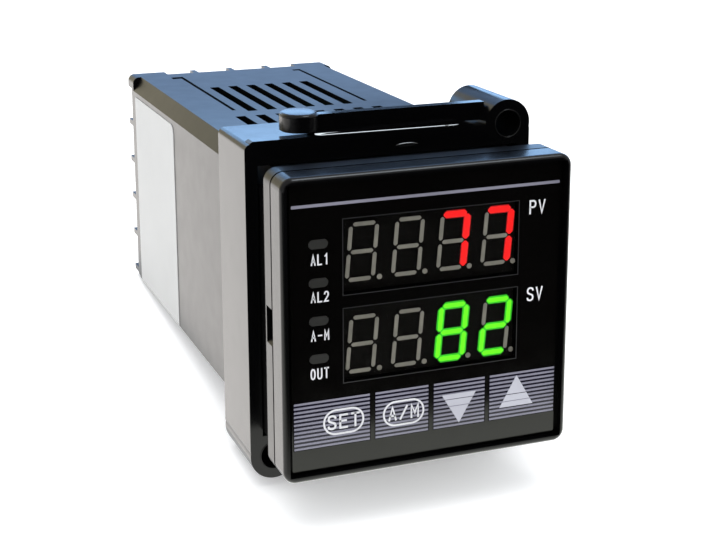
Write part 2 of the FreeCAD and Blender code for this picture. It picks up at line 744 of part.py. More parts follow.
def make_components():
    """Parts soldered on the inner faces of the two side boards."""
    wall = dim.side_board
    frame = box("core_outer", wall - 12, wall, 28, 46, -17, -2)
    windows = joined("core_windows", [box("core_window_front", wall - 13, wall + 1, 31, 34.5, -14, -5),
                                      box("core_window_back", wall - 13, wall + 1, 39.5, 43, -14, -5)])
    core = less("transformer_core", frame, windows)
    wound = box("coil_outer", wall - 14.5, wall, 31, 43, -14, -5)
    middle = box("coil_middle", wall - 12, wall + 1, 34.5, 39.5, -15, -4)
    coil = less("transformer_coil", wound, middle)
    capacitor = doc.addObject("Part::Cylinder", "filter_capacitor")
    capacitor.Placement = FreeCAD.Placement(Vector(), FreeCAD.Rotation(Vector(0, 1, 0), 90))
    bind(capacitor, "Radius", 4.0)
    bind(capacitor, "Height", 12.0)
    place(capacitor, wall - 12, 56, -8)
    return [core, coil, capacitor,
            box("output_relay", wall - 10, wall, 64, 83, -4, 11),
            box("alarm_relay_1", -wall, 10 - wall, 60, 79, -18, -3),
            box("alarm_relay_2", -wall, 10 - wall, 60, 79, -2, 13),
            box("microcontroller", -wall, 1.6 - wall, 20, 30, -5, 5),
            box("crystal", -wall, 3.5 - wall, 20, 24, 7, 11.5)]


# ---------------------------------------------------------------- bracket
def make_bracket():
    """Sliding frame with two screw bosses and two spring arms, the same after half a turn."""
    frame = Moulding("bracket_moulding")
    sketch = frame.front(dim.bracket_front)
    rectangle(sketch, -dim.bracket_half_x, dim.bracket_half_x, -dim.bracket_half_z, dim.bracket_half_z)
    frame.pad(sketch, dim.bracket_deep)
    frame.soften("Fillet", 1.1, along_y)

    top = dim.bracket_half_z
    sketch = frame.front(dim.bracket_front)
    circle(sketch, dim.boss_x, top, dim.boss_radius)
    boss = frame.pad(sketch, dim.bracket_deep)

    # Raised lip along the front edge of the top wall.
    sketch = frame.front(dim.bracket_front)
    outline(sketch, [(-23.7, top - 1), (14.5, top - 1), (14.5, top + 0.3), (12.4, top + 0.8), (11.4, top + 1.2),
                     (-10.9, top + 0.8), (-13.5, top + 0.5), (-16.5, top + 0.4), (-23.2, top + 0.4),
                     (-23.7, top + 0.1)])
    lip = frame.pad(sketch, 2.4)

    # Spring arm from the boss; its free end carries a thumb pad with a rounded crown.
    sketch = frame.front(10.3)
    outline(sketch, [(-13.5, top + 0.9), (-12.5, top + 0.4), (17.5, top + 0.4), (17.5, top + 3.4),
                     (-13.5, top + 3.4)])
    arm = frame.pad(sketch, 1.8)
    sketch = frame.sketch("XY_Plane", top + 0.9)
    pill(sketch, -17.3, -11.3, 8.3, 15.3)
    thumb = frame.pad(sketch, 2.35)
    sketch = frame.sketch("XY_Plane", top + 3.25)
    pill(sketch, -16.8, -11.8, 8.8, 14.8)
    crown = frame.pad(sketch, 0.5)
    frame.half_turn([boss, lip, arm, thumb, crown])

    sketch = frame.front(dim.bracket_front)
    rectangle(sketch, -dim.bracket_inner, dim.bracket_inner, -dim.bracket_inner, dim.bracket_inner)
    frame.pocket(sketch, dim.bracket_deep)
    sketch = frame.front(dim.bracket_front)
    circle(sketch, dim.boss_x, top, dim.boss_bore)
    circle(sketch, -dim.boss_x, -top, dim.boss_bore)
    frame.pocket(sketch, dim.bracket_deep)

    # The two corners that carry the bosses are kept apart from the rest by flat faces.
    outer = dim.boss_radius * 2 + top
    near = dim.bracket_front - 1
    corners = []
    for label, sign in (("bracket_corner_upper", 1), ("bracket_corner_lower", -1)):
        span_x = [dim.boss_split * sign, outer * sign]
        span_z = [dim.bracket_inner * sign, outer * sign]
        span_x.sort(key=lambda item: item.value)
        span_z.sort(key=lambda item: item.value)
        region = box(label + "_region", span_x[0], span_x[1], near, bracket_back + 1, span_z[0], span_z[1])
        corner = doc.addObject("Part::Common", label)
        corner.Base = frame.body
        corner.Tool = region
        corners.append(corner)
    regions = joined("bracket_corner_regions", [corner.Tool for corner in corners])
    return [less("mounting_bracket", frame.body, regions)] + corners


# ---------------------------------------------------------------- the whole controller
subparts = [make_case_shell(), make_side_label(), make_terminal_block(), make_terminal_screws()]
subparts += [make_terminal_contacts(), make_front_bezel(), make_face_overlay()]
subparts += make_display("upper", dim.upper_base)
subparts += make_display("lower", dim.lower_base)
for number, name in enumerate(LAMPS):
    subparts.append(make_lamp(number, name))
for name, left, right, middle in KEYS:
    subparts += make_key(name, left, right, middle)
subparts += make_boards()
subparts += make_components()
subparts += make_bracket()
doc.recompute()

for item in doc.Objects:
    if "Invalid" in item.State or "Error" in item.State:
        raise RuntimeError("%s could not be computed" % item.Name)
for item in subparts:
    if item.Shape.isNull() or not item.Shape.isValid():
        raise RuntimeError("%s has no valid shape" % item.Label)

os.makedirs("parts", exist_ok=True)
for item in subparts:
    item.Shape.exportStep("parts/%s.step" % item.Label)
    extent = item.Shape.BoundBox
    print("%-20s solids %2d  volume %9.2f  x %7.2f %7.2f  y %7.2f %7.2f  z %7.2f %7.2f"
          % (item.Label, len(item.Shape.Solids), item.Shape.Volume, extent.XMin, extent.XMax,
             extent.YMin, extent.YMax, extent.ZMin, extent.ZMax))
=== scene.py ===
import math

import bmesh
import bpy
from mathutils import Matrix, Vector


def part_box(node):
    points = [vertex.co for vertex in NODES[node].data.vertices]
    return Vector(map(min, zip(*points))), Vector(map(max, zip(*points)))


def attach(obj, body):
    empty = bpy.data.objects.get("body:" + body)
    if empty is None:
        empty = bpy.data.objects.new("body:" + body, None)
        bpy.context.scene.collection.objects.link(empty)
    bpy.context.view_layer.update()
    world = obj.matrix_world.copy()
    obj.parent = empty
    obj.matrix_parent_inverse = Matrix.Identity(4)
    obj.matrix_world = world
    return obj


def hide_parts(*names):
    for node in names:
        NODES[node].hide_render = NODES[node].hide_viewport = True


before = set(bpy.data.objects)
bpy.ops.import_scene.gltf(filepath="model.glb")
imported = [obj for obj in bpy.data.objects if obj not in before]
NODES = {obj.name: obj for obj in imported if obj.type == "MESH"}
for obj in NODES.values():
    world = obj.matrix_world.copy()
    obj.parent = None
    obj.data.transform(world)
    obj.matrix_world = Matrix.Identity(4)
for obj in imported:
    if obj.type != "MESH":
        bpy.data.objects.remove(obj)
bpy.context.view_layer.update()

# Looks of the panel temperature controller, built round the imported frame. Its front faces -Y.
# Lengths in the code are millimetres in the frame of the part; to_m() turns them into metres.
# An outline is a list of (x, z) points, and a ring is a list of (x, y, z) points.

MM = 0.001
KEYS = ("set", "mode", "down", "up")
LAMPS = ("al1", "al2", "am", "out")


def to_m(x, y, z):
    return Vector((x * MM, y * MM, z * MM))


def box_mm(node):
    """Lowest and highest corner of a CAD node."""
    low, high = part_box(node)
    return [value / MM for value in low], [value / MM for value in high]


# ---------------------------------------------------------------- materials
NOISE_RANGE = (0.3, 0.7)    # most values of a noise lie between these
FINE_GRAIN = 0.00001        # depth of a fine grain and of a coarse one, in metres
COARSE_GRAIN = 0.0001
MOTTLE_DETAIL = 4.0
GLOSS_DETAIL = 5.0
GRAIN_DETAIL = 6.0
GLOSS_SCALE = 5             # how much finer the gloss varies than the colour
GLOW_DIMMEST = 0.88         # the dimmest patch of a lit segment
GLOW_ROUGH = (0.45, 0.6)
GLOW_BUMP = 0.2
PANE_SHADES = (0.8, 1.2)
PANE_ROUGH = (0.10, 0.15)
PANE_SPECULAR = 0.25
PANE_BUMP = 0.04


def new_material(name):
    material = bpy.data.materials.new(name)
    material.use_nodes = True
    tree = material.node_tree
    return material, tree, tree.nodes["Principled BSDF"]


def ramp(tree, source, low, high):
    """Turn a noise into a range of colours; a plain number is a grey."""
    node = tree.nodes.new("ShaderNodeValToRGB")
    for element, position, value in zip(node.color_ramp.elements, NOISE_RANGE, (low, high)):
        colour = value if isinstance(value, tuple) else (value, value, value)
        element.position = position
        element.color = (*colour, 1.0)
    tree.links.new(source, node.inputs["Fac"])
    return node.outputs["Color"]


def noise(tree, scale, detail=3.0, stretch=None):
    """Noise in the frame's own coordinates; scale is in waves per metre."""
    place = tree.nodes.new("ShaderNodeTexCoord").outputs["Object"]
    if stretch:
        mapping = tree.nodes.new("ShaderNodeMapping")
        mapping.inputs["Scale"].default_value = stretch
        tree.links.new(place, mapping.inputs["Vector"])
        place = mapping.outputs["Vector"]
    node = tree.nodes.new("ShaderNodeTexNoise")
    node.inputs["Scale"].default_value = scale
    node.inputs["Detail"].default_value = detail
    tree.links.new(place, node.inputs["Vector"])
    return node.outputs["Fac"]


def add_bump(tree, shader, height, strength, depth=FINE_GRAIN):
    node = tree.nodes.new("ShaderNodeBump")
    node.inputs["Strength"].default_value = strength
    node.inputs["Distance"].default_value = depth
    tree.links.new(height, node.inputs["Height"])
    tree.links.new(node.outputs["Normal"], shader.inputs["Normal"])


def scaled(colour, factor):
    return tuple(min(1.0, channel * factor) for channel in colour)


def surface(name, colour, rough, spread=0.05, metallic=0.0, specular=0.5, grain=2500.0,
            grain_depth=FINE_GRAIN, grain_strength=0.25, mottle=60.0, shift=0.15, stretch=None):
    """Moulded or metal surface: slightly mottled colour, uneven gloss and a fine grain."""
    material, tree, shader = new_material(name)
    patches = noise(tree, mottle, MOTTLE_DETAIL)
    tint = ramp(tree, patches, scaled(colour, 1 - shift), scaled(colour, 1 + shift))
    tree.links.new(tint, shader.inputs["Base Color"])
    sheen = noise(tree, mottle * GLOSS_SCALE, GLOSS_DETAIL, stretch)
    gloss = ramp(tree, sheen, rough - spread, rough + spread)
    tree.links.new(gloss, shader.inputs["Roughness"])
    shader.inputs["Metallic"].default_value = metallic
    shader.inputs["Specular IOR Level"].default_value = specular
    add_bump(tree, shader, noise(tree, grain, GRAIN_DETAIL, stretch), grain_strength, grain_depth)
    return material


def glowing(name, colour, strength):
    """A lit segment: slightly uneven emission under a grainy surface."""
    material, tree, shader = new_material(name)
    tint = ramp(tree, noise(tree, 900.0), scaled(colour, GLOW_DIMMEST), colour)
    tree.links.new(tint, shader.inputs["Emission Color"])
    tree.links.new(tint, shader.inputs["Base Color"])
    shader.inputs["Emission Strength"].default_value = strength
    tree.links.new(ramp(tree, noise(tree, 600.0), *GLOW_ROUGH), shader.inputs["Roughness"])
    add_bump(tree, shader, noise(tree, 3000.0, MOTTLE_DETAIL), GLOW_BUMP)
    return material


def smoked(name, tint, alpha):
    """Thin smoked sheet that shows what lies behind it."""
    material, tree, shader = new_material(name)
    shade = ramp(tree, noise(tree, 80.0), *(scaled(tint, factor) for factor in PANE_SHADES))
    tree.links.new(shade, shader.inputs["Base Color"])
    shader.inputs["Alpha"].default_value = alpha
    shader.inputs["Specular IOR Level"].default_value = PANE_SPECULAR
    tree.links.new(ramp(tree, noise(tree, 400.0), *PANE_ROUGH), shader.inputs["Roughness"])
    add_bump(tree, shader, noise(tree, 2500.0), PANE_BUMP)
    return material


BLACK = (0.0013, 0.0013, 0.0016)
MATERIALS = {
    "case": surface("case_plastic", BLACK, 0.30, 0.015, specular=0.2),
    "bracket": surface("bracket_plastic", BLACK, 0.20, 0.02, specular=0.2),
    # Painted shade: a near-black, dull lining that darkens the inside of each bore.
    "shade_lining": surface("bore_painted_shade", (0.0008, 0.0008, 0.0008), 0.9, specular=0.02),
    "bezel": surface("bezel_plastic", BLACK, 0.22, 0.02, specular=0.2),
    "overlay": surface("overlay_sheet", (0.0015, 0.0013, 0.0012), 0.14, 0.03, specular=0.4, grain=5000.0,
                       grain_strength=0.05),
    "window": smoked("smoked_window", (0.002, 0.0015, 0.0015), 0.16),
    "module": surface("display_body", (0.003, 0.0025, 0.002), 0.6, specular=0.1, grain_strength=0.02),
    "unlit": surface("unlit_segments", (0.32, 0.305, 0.25), 0.5, grain=1800.0, mottle=500.0),
    "red": glowing("red_segments", (1.0, 0.001, 0.001), 1.4),
    "green": glowing("green_segments", (0.13, 0.92, 0.006), 1.2),
    # The halos are painted glow: dim emitting rims round the lit segments.
    "red_halo": glowing("red_halo", (1.0, 0.01, 0.01), 0.16),
    "green_halo": glowing("green_halo", (0.05, 1.0, 0.02), 0.10),
    "silver": surface("silver_print", (0.21, 0.205, 0.26), 0.4, grain=4000.0),
    "white": surface("white_print", (0.70, 0.70, 0.72), 0.5, grain=4000.0),
    "pale": surface("pale_print", (0.50, 0.50, 0.56), 0.5, grain=4000.0),
    "lamp": surface("lamp_lens", (0.025, 0.025, 0.023), 0.35, specular=0.2),
    "key": surface("key_face", (0.007, 0.006, 0.017), 0.16, 0.03, specular=0.4, grain=5000.0,
                   grain_strength=0.05),
    "line": surface("window_line", (0.010, 0.010, 0.012), 0.45),
    "polished": surface("polished_edge", BLACK, 0.16, 0.02, specular=1.0),
    "terminal": surface("terminal_plastic", BLACK, 0.30, 0.02, specular=0.2),
    "screw": surface("plated_steel", (0.43, 0.43, 0.42), 0.38, metallic=1.0, grain=900.0),
    "brass": surface("contact_brass", (0.80, 0.66, 0.38), 0.3, metallic=1.0, grain=900.0),
    "label": surface("label_paper", (0.60, 0.60, 0.59), 0.6, grain=3000.0, shift=0.02, specular=0.03),
    "board": surface("board_green", (0.01, 0.09, 0.035), 0.35, grain=1500.0),
    "copper": surface("coil_copper", (0.60, 0.25, 0.10), 0.4, metallic=0.9, grain=400.0,
                      stretch=(1.0, 1.0, 8.0), grain_depth=COARSE_GRAIN),
    "steel": surface("laminated_steel", (0.30, 0.30, 0.32), 0.45, metallic=0.9, grain=500.0,
                     stretch=(8.0, 1.0, 1.0), grain_depth=COARSE_GRAIN),
    "can": surface("drawn_can", (0.62, 0.62, 0.64), 0.3, metallic=1.0),
    "relay": surface("relay_case", (0.01, 0.06, 0.2), 0.25),
    "chip": surface("chip_body", (0.012, 0.012, 0.012), 0.5),
    "natural": surface("natural_plastic", (0.55, 0.52, 0.45), 0.45),
}

# Each material and the CAD nodes made of it.
DRESSED = {
    "case": ["case_shell"],
    "label": ["side_label"],
    "terminal": ["terminal_block"],
    "screw": ["terminal_screws"],
    "brass": ["terminal_contacts"],
    "bezel": ["front_bezel"],
    "overlay": ["face_overlay"],
    "window": ["upper_window", "lower_window"],
    "module": ["upper_display", "lower_display"],
    "board": ["display_board", "main_board", "power_board", "output_board"],
    "steel": ["transformer_core"],
    "copper": ["transformer_coil"],
    "can": ["filter_capacitor", "crystal"],
    "relay": ["output_relay", "alarm_relay_1", "alarm_relay_2"],
    "chip": ["board_headers", "microcontroller"] + [name + "_switch" for name in KEYS],
    "bracket": ["mounting_bracket", "bracket_corner_upper", "bracket_corner_lower"],
    "key": [name + "_key" for name in KEYS],
    "natural": [name + "_plunger" for name in KEYS],
    "lamp": ["indicator_" + name for name in LAMPS],
}


def dress_nodes():
    for key, nodes in DRESSED.items():
        for node in nodes:
            materials = NODES[node].data.materials
            materials.clear()
            materials.append(MATERIALS[key])


dress_nodes()


# ---------------------------------------------------------------- mesh helpers
SLACK = 0.01                # keeps a little flat between two full roundings


def finish_piece(name, bm, key, body, smooth=False):
    """Turn a bmesh in millimetres into a piece that rides on a body."""
    bmesh.ops.recalc_face_normals(bm, faces=bm.faces)
    for vertex in bm.verts:
        vertex.co *= MM
    mesh = bpy.data.meshes.new(name)
    bm.to_mesh(mesh)
    bm.free()
    if smooth:
        for polygon in mesh.polygons:
            polygon.use_smooth = True
    mesh.materials.append(MATERIALS[key])
    piece = bpy.data.objects.new(name, mesh)
    bpy.context.scene.collection.objects.link(piece)
    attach(piece, body)
    return piece


def ring(outline, y, sign=1):
    """An outline at depth y; with sign -1 it is half a turn round the Y axis from there."""
    return [(sign * x, y, sign * z) for x, z in outline]


def join(bm, first, second):
    """Faces between two rows of vertices that each go right round."""
    for i in range(len(first)):
        j = (i + 1) % len(first)
        bm.faces.new((first[j], first[i], second[i], second[j]))


def stack(bm, rings):
    """Join rings of equal length, closed by a face at each end."""
    rows = [[bm.verts.new(point) for point in points] for points in rings]
    bm.faces.new(rows[0])
    bm.faces.new(list(reversed(rows[-1])))
    for first, second in zip(rows, rows[1:]):
        join(bm, first, second)


def tube(bm, rings):
    """Join rings of equal length, the last to the first."""
    rows = [[bm.verts.new(point) for point in points] for points in rings]
    for first, second in zip(rows, rows[1:] + rows[:1]):
        join(bm, second, first)


def prism(bm, outline, near, far):
    """Extrude an outline from y near to y far."""
    stack(bm, [ring(outline, near), ring(outline, far)])


def band(bm, inner, outer, near, far, sign=1):
    """A closed frame between two outlines with the same number of points."""
    tube(bm, [ring(inner, near, sign), ring(outer, near, sign), ring(outer, far, sign),
              ring(inner, far, sign)])


def rectangle(left, right, low, high):
    return [(left, low), (right, low), (right, high), (left, high)]


def rounded(left, right, low, high, radius, steps=5):
    """Outline of a rectangle with rounded corners."""
    points = []
    for cx, cz, start in ((right - radius, high - radius, 0), (left + radius, high - radius, 90),
                          (left + radius, low + radius, 180), (right - radius, low + radius, 270)):
        for i in range(steps + 1):
            turn = math.radians(start + 90 * i / steps)
            points.append((cx + radius * math.cos(turn), cz + radius * math.sin(turn)))
    return points


def oval(cx, cz, half_x, half_z, sides):
    """Outline of an ellipse."""
    turns = [math.tau * i / sides for i in range(sides)]
    return [(cx + half_x * math.cos(turn), cz + half_z * math.sin(turn)) for turn in turns]


# ---------------------------------------------------------------- letters
# Strokes of each letter in a cell one unit wide and one unit high.
GLYPHS = {
    "A": [[(0, 0), (0.5, 1), (1, 0)], [(0.18, 0.33), (0.82, 0.33)]],
    "L": [[(0, 1), (0, 0), (1, 0)]],
    "E": [[(1, 1), (0, 1), (0, 0), (1, 0)], [(0, 0.53), (0.85, 0.53)]],
    "T": [[(0, 1), (1, 1)], [(0.5, 1), (0.5, 0)]],
    "M": [[(0, 0), (0, 1), (0.5, 0.35), (1, 1), (1, 0)]],
    "V": [[(0, 1), (0.5, 0), (1, 1)]],
    "-": [[(0.05, 0.5), (0.95, 0.5)]],
    "/": [[(0, 0), (1, 1)]],
    "1": [[(0.2, 0.8), (0.62, 1), (0.62, 0)]],
    "2": [[(0, 0.78), (0.1, 0.93), (0.35, 1), (0.65, 1), (0.9, 0.92), (1, 0.75), (0.92, 0.57), (0, 0),
           (1, 0)]],
    "P": [[(0, 0), (0, 1), (0.65, 1), (0.9, 0.92), (1, 0.76), (0.9, 0.58), (0.65, 0.5), (0, 0.5)]],
    "U": [[(0, 1), (0, 0.25), (0.08, 0.09), (0.3, 0), (0.7, 0), (0.92, 0.09), (1, 0.25), (1, 1)]],
    "O": [[(0.5, 1), (0.2, 0.93), (0.03, 0.72), (0, 0.5), (0.03, 0.28), (0.2, 0.07), (0.5, 0),
           (0.8, 0.07), (0.97, 0.28), (1, 0.5), (0.97, 0.72), (0.8, 0.93), (0.5, 1)]],
    "S": [[(1, 0.82), (0.88, 0.95), (0.6, 1), (0.35, 1), (0.1, 0.93), (0, 0.76), (0.1, 0.6), (0.4, 0.52),
           (0.65, 0.47), (0.9, 0.4), (1, 0.23), (0.9, 0.07), (0.62, 0), (0.38, 0), (0.1, 0.05), (0, 0.18)]],
}
LETTER_GAP = 0.3            # between two letters, in letter widths
SPIKE_LIMIT = 0.45          # keeps the outside of a sharp bend from running out to a spike
OVERRUN = 0.7               # how far a stroke runs on past its two ends, in half widths


def stroke(bm, points, half, near, far):
    """A thin ribbon of even width along a line of points, which closes if the last is the first."""
    ahead, behind = [], []
    closed = points[0] == points[-1]
    line = [Vector(point) for point in (points[:-1] if closed else points)]
    count = len(line)
    for i, point in enumerate(line):
        starts = not closed and i == 0
        ends = not closed and i == count - 1
        leave = None if ends else (line[(i + 1) % count] - point).normalized()
        arrive = leave if starts else (point - line[i - 1]).normalized()
        leave = arrive if ends else leave
        middle = (arrive + leave).normalized()
        across = Vector((-middle.y, middle.x))
        reach = half / max(SPIKE_LIMIT, across.dot(Vector((-arrive.y, arrive.x))))
        extend = Vector((0, 0))
        if starts or ends:
            extend = (leave if ends else -leave) * half * OVERRUN
        ahead.append(point + across * reach + extend)
        behind.append(point - across * reach + extend)
    for i in range(count if closed else count - 1):
        j = (i + 1) % count
        prism(bm, [(p.x, p.y) for p in (ahead[i], ahead[j], behind[j], behind[i])], near, far)


def lettering(bm, text, left, low, high, wide, pen, near, far):
    """Stroked letters in equal cells that fill a given width and height."""
    cell = wide / (len(text) + LETTER_GAP * (len(text) - 1))
    for number, letter in enumerate(text):
        start = left + number * cell * (1 + LETTER_GAP) + pen / 2
        for points in GLYPHS[letter]:
            placed = [(start + x * (cell - pen), low + pen / 2 + z * (high - pen)) for x, z in points]
            stroke(bm, placed, pen / 2, near, far)


# ---------------------------------------------------------------- printed face
INK = 0.02                              # how far print stands out
FACE = box_mm("face_overlay")[0][1]
KEY_BOXES = {name: box_mm(name + "_key") for name in KEYS}

# Text, left edge, lower edge, height, width and pen.
FACE_TEXTS = (("PV", 17.1, 14.5, 2.3, 2.8, 0.27), ("SV", 17.0, 0.25, 2.3, 2.8, 0.27),
              ("AL1", -19.13, 10.15, 1.75, 2.85, 0.23), ("AL2", -19.18, 4.35, 1.7, 2.9, 0.23),
              ("A-M", -19.22, -1.75, 1.75, 2.95, 0.23), ("OUT", -19.35, -7.85, 1.8, 3.0, 0.23))
LINE_Z = (19.15, 19.62)
LINE_CORNER = 0.12


def make_face_print():
    """White lettering on the face sheet, and the silver line, which is as long as the row of keys."""
    near, far = FACE - INK, FACE + INK
    bm = bmesh.new()
    for text in FACE_TEXTS:
        lettering(bm, *text, near, far)
    finish_piece("face_lettering", bm, "white", "chassis")

    bm = bmesh.new()
    left, right = KEY_BOXES["set"][0][0], KEY_BOXES["up"][1][0]
    prism(bm, rounded(left, right, *LINE_Z, LINE_CORNER), near, far)
    finish_piece("silver_line", bm, "silver", "chassis")


STRIPES = 12
STRIPE_PITCH = 0.66
STRIPE_HALF = 0.165
STRIPE_INSET = 0.02

# Text of each key, with the middle and the half sizes of the pill round it and the width of the text.
PILLS = {"set": ("SET", -14.03, -15.2, 3.37, 2.1, 5.3), "mode": ("A/M", -4.05, -15.3, 3.5, 2.1, 5.2)}
PILL_LINE = 0.3
PILL_STEPS = 9
PILL_TEXT_HIGH = 2.4
PILL_TEXT_PEN = 0.32

# Tip and base corners of each key's triangle, and the two places, on the way from its tip to its base,
# where a fine gap crosses it.
TRIANGLES = {"down": ((5.45, -18.45), (2.45, -13.5), (8.35, -13.5), (0.59, 0.83)),
             "up": ((15.5, -11.9), (12.55, -17.1), (18.5, -17.1), (0.6, 0.82))}
TRIANGLE_GAP_HALF = 0.012
TRIANGLE_START = 0.01       # a triangle starts just past its tip


def add_stripes(bm, name, near, far):
    low, high = KEY_BOXES[name]
    left, right = low[0] + STRIPE_INSET, high[0] - STRIPE_INSET
    lowest = (low[2] + high[2]) / 2 - STRIPE_PITCH * (STRIPES - 1) / 2
    for number in range(STRIPES):
        z = lowest + STRIPE_PITCH * number
        prism(bm, rectangle(left, right, z - STRIPE_HALF, z + STRIPE_HALF), near, far)


def add_pill(bm, name, near, far):
    """A key's text in a pill-shaped outline."""
    text, cx, cz, half_x, half_z, wide = PILLS[name]
    outer, inner = [rounded(cx - half_x + inset, cx + half_x - inset, cz - half_z + inset,
                            cz + half_z - inset, half_z - inset - SLACK, PILL_STEPS)
                    for inset in (0.0, PILL_LINE)]
    band(bm, inner, outer, near, far)
    lettering(bm, text, cx - wide / 2, cz - PILL_TEXT_HIGH / 2, PILL_TEXT_HIGH, wide, PILL_TEXT_PEN,
              near, far)


def add_triangle(bm, name, near, far):
    """A key's solid triangle, crossed by two fine gaps."""
    tip, base_left, base_right, gaps = TRIANGLES[name]

    def at(corner, level):
        return tip[0] + (corner[0] - tip[0]) * level, tip[1] + (corner[1] - tip[1]) * level

    sides = [gap + side for gap in gaps for side in (-TRIANGLE_GAP_HALF, TRIANGLE_GAP_HALF)]
    levels = [TRIANGLE_START] + sides + [1.0]
    for first, last in zip(levels[::2], levels[1::2]):
        prism(bm, [at(base_left, first), at(base_right, first), at(base_right, last),
                   at(base_left, last)], near, far)


def make_key_print():
    """Silver stripes on each key, and the key's own mark printed over them."""
    for name in KEYS:
        front = KEY_BOXES[name][0][1]
        bm = bmesh.new()
        add_stripes(bm, name, front - INK, front + INK)
        finish_piece(name + "_stripes", bm, "silver", name + "_button")

        bm = bmesh.new()
        add_mark = add_pill if name in PILLS else add_triangle
        add_mark(bm, name, front - 2 * INK, front)
        finish_piece(name + "_mark", bm, "white" if name in PILLS else "pale", name + "_button")


# ---------------------------------------------------------------- displays
DIGIT_LEFT = -13.5
DIGIT_PITCH = 7.52
DIGIT_HIGH = 9.25
DIGIT_WIDE = 4.85
DIGIT_LOW = {"upper": 6.75, "lower": -7.95}
STROKE_HALF = 0.31
SEGMENT_GAP = 0.33          # from the crossing of two strokes to the blunt end of a segment
SEGMENT_TIP = 0.75          # how far its corners are cut back, in half widths
LEAN = 0.8                  # how far the top of a digit leans to the right
POINT = (5.66, 0.32)        # middle of the decimal point, from the lower left corner of its digit
POINT_RADIUS = 0.42
POINT_SIDES = 18
LIT = {"upper": ("", "", "abc", "abc"), "lower": ("", "", "abcdefg", "abged")}
COLOURS = {"upper": "red", "lower": "green"}
BLOOM = {"upper": 0.09, "lower": 0.03}      # how far a lit segment spreads on each side, as painted glow
HALO = 0.3                  # how far its halo of painted glow spreads
HALO_BEHIND = 0.04
CLOSING = 0.6               # how much of a spread goes to closing the gap
WINDOW_LINE = 0.14
WINDOW_CORNER = 0.01
WINDOW_STEPS = 1


def segment_outlines(left, low, wider=0.0):
    """The seven segments of one leaning digit, by letter, each with blunt mitred ends."""
    gap = SEGMENT_GAP - wider * CLOSING
    reach = STROKE_HALF + wider
    tip = reach * SEGMENT_TIP
    flat = reach - tip
    right = DIGIT_WIDE - STROKE_HALF
    top, middle = DIGIT_HIGH - STROKE_HALF, DIGIT_HIGH / 2

    def level(z):
        a, b = STROKE_HALF + gap, right - gap
        return [(a, z - flat), (a + tip, z - reach), (b - tip, z - reach), (b, z - flat),
                (b, z + flat), (b - tip, z + reach), (a + tip, z + reach), (a, z + flat)]

    def upright(x, start, end):
        a, b = start + gap, end - gap
        return [(x - flat, a), (x + flat, a), (x + reach, a + tip), (x + reach, b - tip),
                (x + flat, b), (x - flat, b), (x - reach, b - tip), (x - reach, a + tip)]

    shapes = {"a": level(top), "g": level(middle), "d": level(STROKE_HALF),
              "f": upright(STROKE_HALF, middle, top), "e": upright(STROKE_HALF, STROKE_HALF, middle),
              "b": upright(right, middle, top), "c": upright(right, STROKE_HALF, middle)}
    return {letter: [(left + x + LEAN * z / DIGIT_HIGH, low + z) for x, z in points]
            for letter, points in shapes.items()}


def make_digits():
    """Lit and unlit segments, with a dim halo of painted glow behind the lit ones, in place of the plain
    digits.
    """
    for prefix, colour in COLOURS.items():
        (_, near, _), (_, far, _) = box_mm(prefix + "_digits")
        low = DIGIT_LOW[prefix]
        lit, unlit, halo = bmesh.new(), bmesh.new(), bmesh.new()
        for number, letters in enumerate(LIT[prefix]):
            left = DIGIT_LEFT + DIGIT_PITCH * number
            plain = segment_outlines(left, low)
            bright = segment_outlines(left, low, BLOOM[prefix])
            glow = segment_outlines(left, low, HALO)
            for letter in plain:
                if letter in letters:
                    prism(lit, bright[letter], near, far)
                    prism(halo, glow[letter], near + HALO_BEHIND, far)
                else:
                    prism(unlit, plain[letter], near, far)
            point = oval(left + POINT[0], low + POINT[1], POINT_RADIUS, POINT_RADIUS, POINT_SIDES)
            prism(unlit, point, near, far)
        for name, bm, key in (("lit_segments", lit, colour), ("unlit_segments", unlit, "unlit"),
                              ("halo", halo, colour + "_halo")):
            piece = finish_piece(prefix + "_" + name, bm, key, "chassis")
            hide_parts(prefix + "_digits")


def make_window_lines():
    """Faint edge lines round the two windows."""
    bm = bmesh.new()
    for prefix in ("upper", "lower"):
        low, high = box_mm(prefix + "_window")
        outer, inner = [rounded(low[0] + inset, high[0] - inset, low[2] + inset, high[2] - inset,
                                WINDOW_CORNER, WINDOW_STEPS) for inset in (0.0, WINDOW_LINE)]
        band(bm, inner, outer, FACE - INK, FACE + INK)
    finish_piece("window_lines", bm, "line", "chassis")


# ---------------------------------------------------------------- terminals
TERMINAL_OUT = 18.8         # x of the terminals at the sides, and z of those at the top
TERMINAL_PITCH = 8.15
TOP_TERMINALS = (-11.5, -4.05, 4.05, 11.5)
SCREW_TURN = 37.0           # degrees from one screw's cross to the next

# Radius of a screw head, and how far below its top, from its underside up.
HEAD_PROFILE = ((2.45, 1.6), (2.58, 1.5), (2.58, 0.55), (2.45, 0.3), (2.15, 0.12), (1.75, 0.0))
HEAD_SIDES = 36
CROSS_HALF = 0.27           # half width of the cross recess
CROSS_CUTS = ((-0.2, 1.5), (0.9, 0.825))    # depth below the top, and how far the cross reaches there

# Inset of a clamp plate's edge, and how far above its underside.
PLATE_PROFILE = ((0.15, 0.0), (0.0, 0.12), (0.0, 0.66), (0.15, 0.78))
PLATE_LONG = 2.75           # half sizes
PLATE_SHORT = 2.65
PLATE_CORNER = 0.5
PLATE_STEPS = 3


def loose_object(bm, name):
    """A bmesh as an object of its own, for a modifier to work on."""
    bmesh.ops.recalc_face_normals(bm, faces=bm.faces)
    mesh = bpy.data.meshes.new(name)
    bm.to_mesh(mesh)
    bm.free()
    made = bpy.data.objects.new(name, mesh)
    bpy.context.scene.collection.objects.link(made)
    return made


